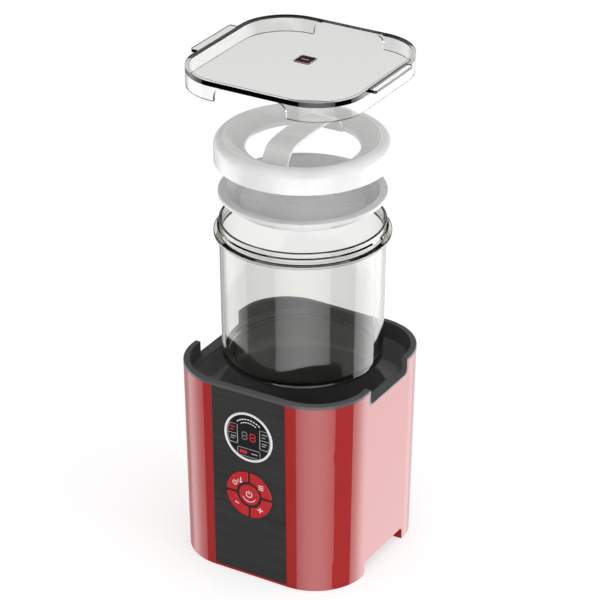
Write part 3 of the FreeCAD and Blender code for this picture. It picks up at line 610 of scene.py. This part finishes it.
def digit(sheet, x, z):
    """An eight of seven segments about (x, z)."""
    right = DIGIT_WIDTH / 2 - 0.5
    top = DIGIT_HEIGHT / 2 - 0.5
    segments = (
        ((-right, top), (right, top)),
        ((right, top), (right, 0)),
        ((right, 0), (right, -top)),
        ((-right, -top), (right, -top)),
        ((-right, 0), (-right, -top)),
        ((-right, top), (-right, 0)),
        ((-right, 0), (right, 0)),
    )
    middle = Vector((x, z))
    for first, last in segments:
        along = (Vector(last) - Vector(first)).normalized()
        across = Vector((-along.y, along.x)) * SEGMENT / 2
        start = middle + Vector(first) + along * SEGMENT_GAP
        end = middle + Vector(last) - along * SEGMENT_GAP
        tip = along * SEGMENT / 2
        outline = [start, start + tip + across, end - tip + across, end,
                   end - tip - across, start + tip - across]
        sheet.face([tuple(point) for point in outline])


def display_marks():
    """Boxes, ticks, bars and digits of the display."""
    lines = front_sheet("display_lines", "print_grey")
    dim = front_sheet("display_unlit", "print_dim", OVER_LINES)
    white = front_sheet("display_ticks", "print_white", OVER_LINES)
    red = front_sheet("display_lit", "lit_red", OVER_LINES)

    # A box at each side of the digits, with a line across it
    inner = 11.4
    outer = 21.4
    middle = DISPLAY_Z + 0.4
    for side in (-1, 1):
        lines.stroke(lens_outline(outer, side * inner, z0=-9, z1=10), 0.55, True)
        lines.stroke([(side * inner, middle), (side * (outer - 0.1), middle)], 0.5)

    # Two bars in each half of these boxes, the upper left ones lit
    for i, width in enumerate((5.4, 3.6)):
        upper = DISPLAY_Z + 6.2 - 3 * i
        lower = DISPLAY_Z - 3.2 - 2.2 * i
        red.bar(-19.0, -19.0 + width, upper, upper + 1.0)
        lines.bar(-18.4, -18.4 + width, lower, lower + 0.8)
        lines.bar(13.6, 13.6 + width, upper, upper + 0.8)
        lines.bar(13.6, 13.6 + width, lower, lower + 0.8)

    # The box under the digits: three lit bars and a grey one
    bottom = DISPLAY_Z - 16.1
    lines.stroke(rounded_box((0, bottom), 11.4, 4.0, 1.4), 0.5, True)
    for x in (-9.2, -6.6, -4.0):
        red.bar(x, x + 2.0, bottom - 1.7, bottom + 1.7)
    lines.bar(2.6, 9.0, bottom - 0.5, bottom + 0.5)

    # Two rows of ticks along the rim above the digits
    spacing = 9.5           # degrees
    length = 6.4
    for radius, count, width in ((17.6, 9, 1.1), (14.4, 7, 0.9)):
        for i in range(count):
            angle = 90 + (i - (count - 1) / 2) * spacing
            white.arc((0, DISPLAY_Z), radius, width, angle - length / 2, length)

    # The left digit unlit, the right one lit
    digit_x = 4.1
    digit_z = DISPLAY_Z + 0.45
    digit(dim, -digit_x, digit_z)
    digit(red, digit_x, digit_z)
    for sheet in (lines, dim, white, red):
        sheet.done("base", "dark_lens")


def button_marks():
    """Plain white icons on the five caps."""
    minus = front_sheet("mark_minus", "print_white", ON_CAPS)
    minus.stroke([(-14.6, CLUSTER_Z - 10.6), (-10.8, CLUSTER_Z - 12.0)], 0.9)
    minus.done("button_minus", "red_button")

    plus = front_sheet("mark_plus", "print_white", ON_CAPS)
    x, z = 11.2, CLUSTER_Z - 12.8
    plus.stroke([(x - 2.7, z), (x + 2.7, z)], 0.85)
    plus.stroke([(x, z - 2.7), (x, z + 2.7)], 0.85)
    plus.done("button_plus", "red_button")

    power = front_sheet("mark_power", "print_white", ON_CAPS)
    power.arc((0, CLUSTER_Z + 0.6), 2.9, 0.75, 125, 290)
    power.stroke([(0, CLUSTER_Z + 0.8), (0, CLUSTER_Z + 4.4)], 0.75)
    power.arc((0, CLUSTER_Z), 7.0, 0.6, 205, 130)
    power.done("button_power", "red_button")

    # A clock, a slash and a thermometer
    time = front_sheet("mark_time", "print_white", ON_CAPS)
    x, z = -14.6, CLUSTER_Z + 9.0
    time.arc((x, z), 2.1, 0.55, 0, 360, True)
    time.stroke([(x, z + 1.4), (x, z), (x + 1.0, z)], 0.45)
    time.stroke([(-11.9, CLUSTER_Z + 9.6), (-10.9, CLUSTER_Z + 13.6)], 0.5)
    bulb = (-8.4, CLUSTER_Z + 11.4)
    time.stroke([bulb, (-8.4, CLUSTER_Z + 16.0)], 0.9)
    time.disc(bulb, 1.15)
    time.done("button_time", "red_button")

    menu = front_sheet("mark_menu", "print_white", ON_CAPS)
    x = 12.2
    for z in (CLUSTER_Z + 8.9, CLUSTER_Z + 10.9, CLUSTER_Z + 12.9):
        menu.stroke([(x - 2.5, z), (x + 2.5, z)], 0.75)
    menu.done("button_menu", "red_button")


def badge_marks():
    """Border and a plain bar on the cover's badge."""
    low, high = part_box("cover_badge")
    centre = (low + high) / 2
    top = Vector((centre.x, centre.y, high.z))
    flat = Matrix.Translation(top) @ Matrix.Rotation(math.radians(-90), 4, "X")
    marks = Sheet("badge_lines", "print_white", flat)
    marks.stroke(rounded_box((0, 0), 7.4, 7.4, 2.0), 0.4, True)
    marks.bar(-3.6, 3.6, -0.3, 0.3)
    marks.done("cover", "badge_dark")


# ---- Floor ----------------------------------------------------------------------------

FLOOR_SIZE = 6.0
FLOOR_GLOW = 0.60           # the floor's own light, which keeps it white


def make_floor():
    """White ground under the object, out of sight of reflections."""
    mesh = bmesh.new()
    bmesh.ops.create_grid(mesh, x_segments=2, y_segments=2, size=FLOOR_SIZE)
    data = bpy.data.meshes.new("floor")
    mesh.to_mesh(data)
    mesh.free()
    floor = bpy.data.objects.new("floor", data)
    scene.collection.objects.link(floor)
    paint = Paint("floor_white", (0.5, 0.5, 0.5), 0.9)
    paint.shade(paint.noise(3), 0.004)
    level = paint.math("MULTIPLY", fading(paint.tree), FLOOR_GLOW)
    paint.link(level, paint.bsdf.inputs["Emission Strength"])
    paint.bsdf.inputs["Emission Color"].default_value = (1, 1, 1, 1)
    data.materials.append(paint.material)
    floor.visible_glossy = False


make_camera()
world_light()
soft_box("top_light", (0.6, -0.1, 2.5), 2.2, 19)
soft_box("front_light", (0.3, -2.8, 1.0), 1.6, 12)
soft_box("right_light", (2.6, 0.1, 1.2), 1.6, 16)
scene.view_settings.view_transform = "Standard"
for node_name, node in nodes.items():
    dress(node_name, node)
display_marks()
button_marks()
badge_marks()
make_floor()
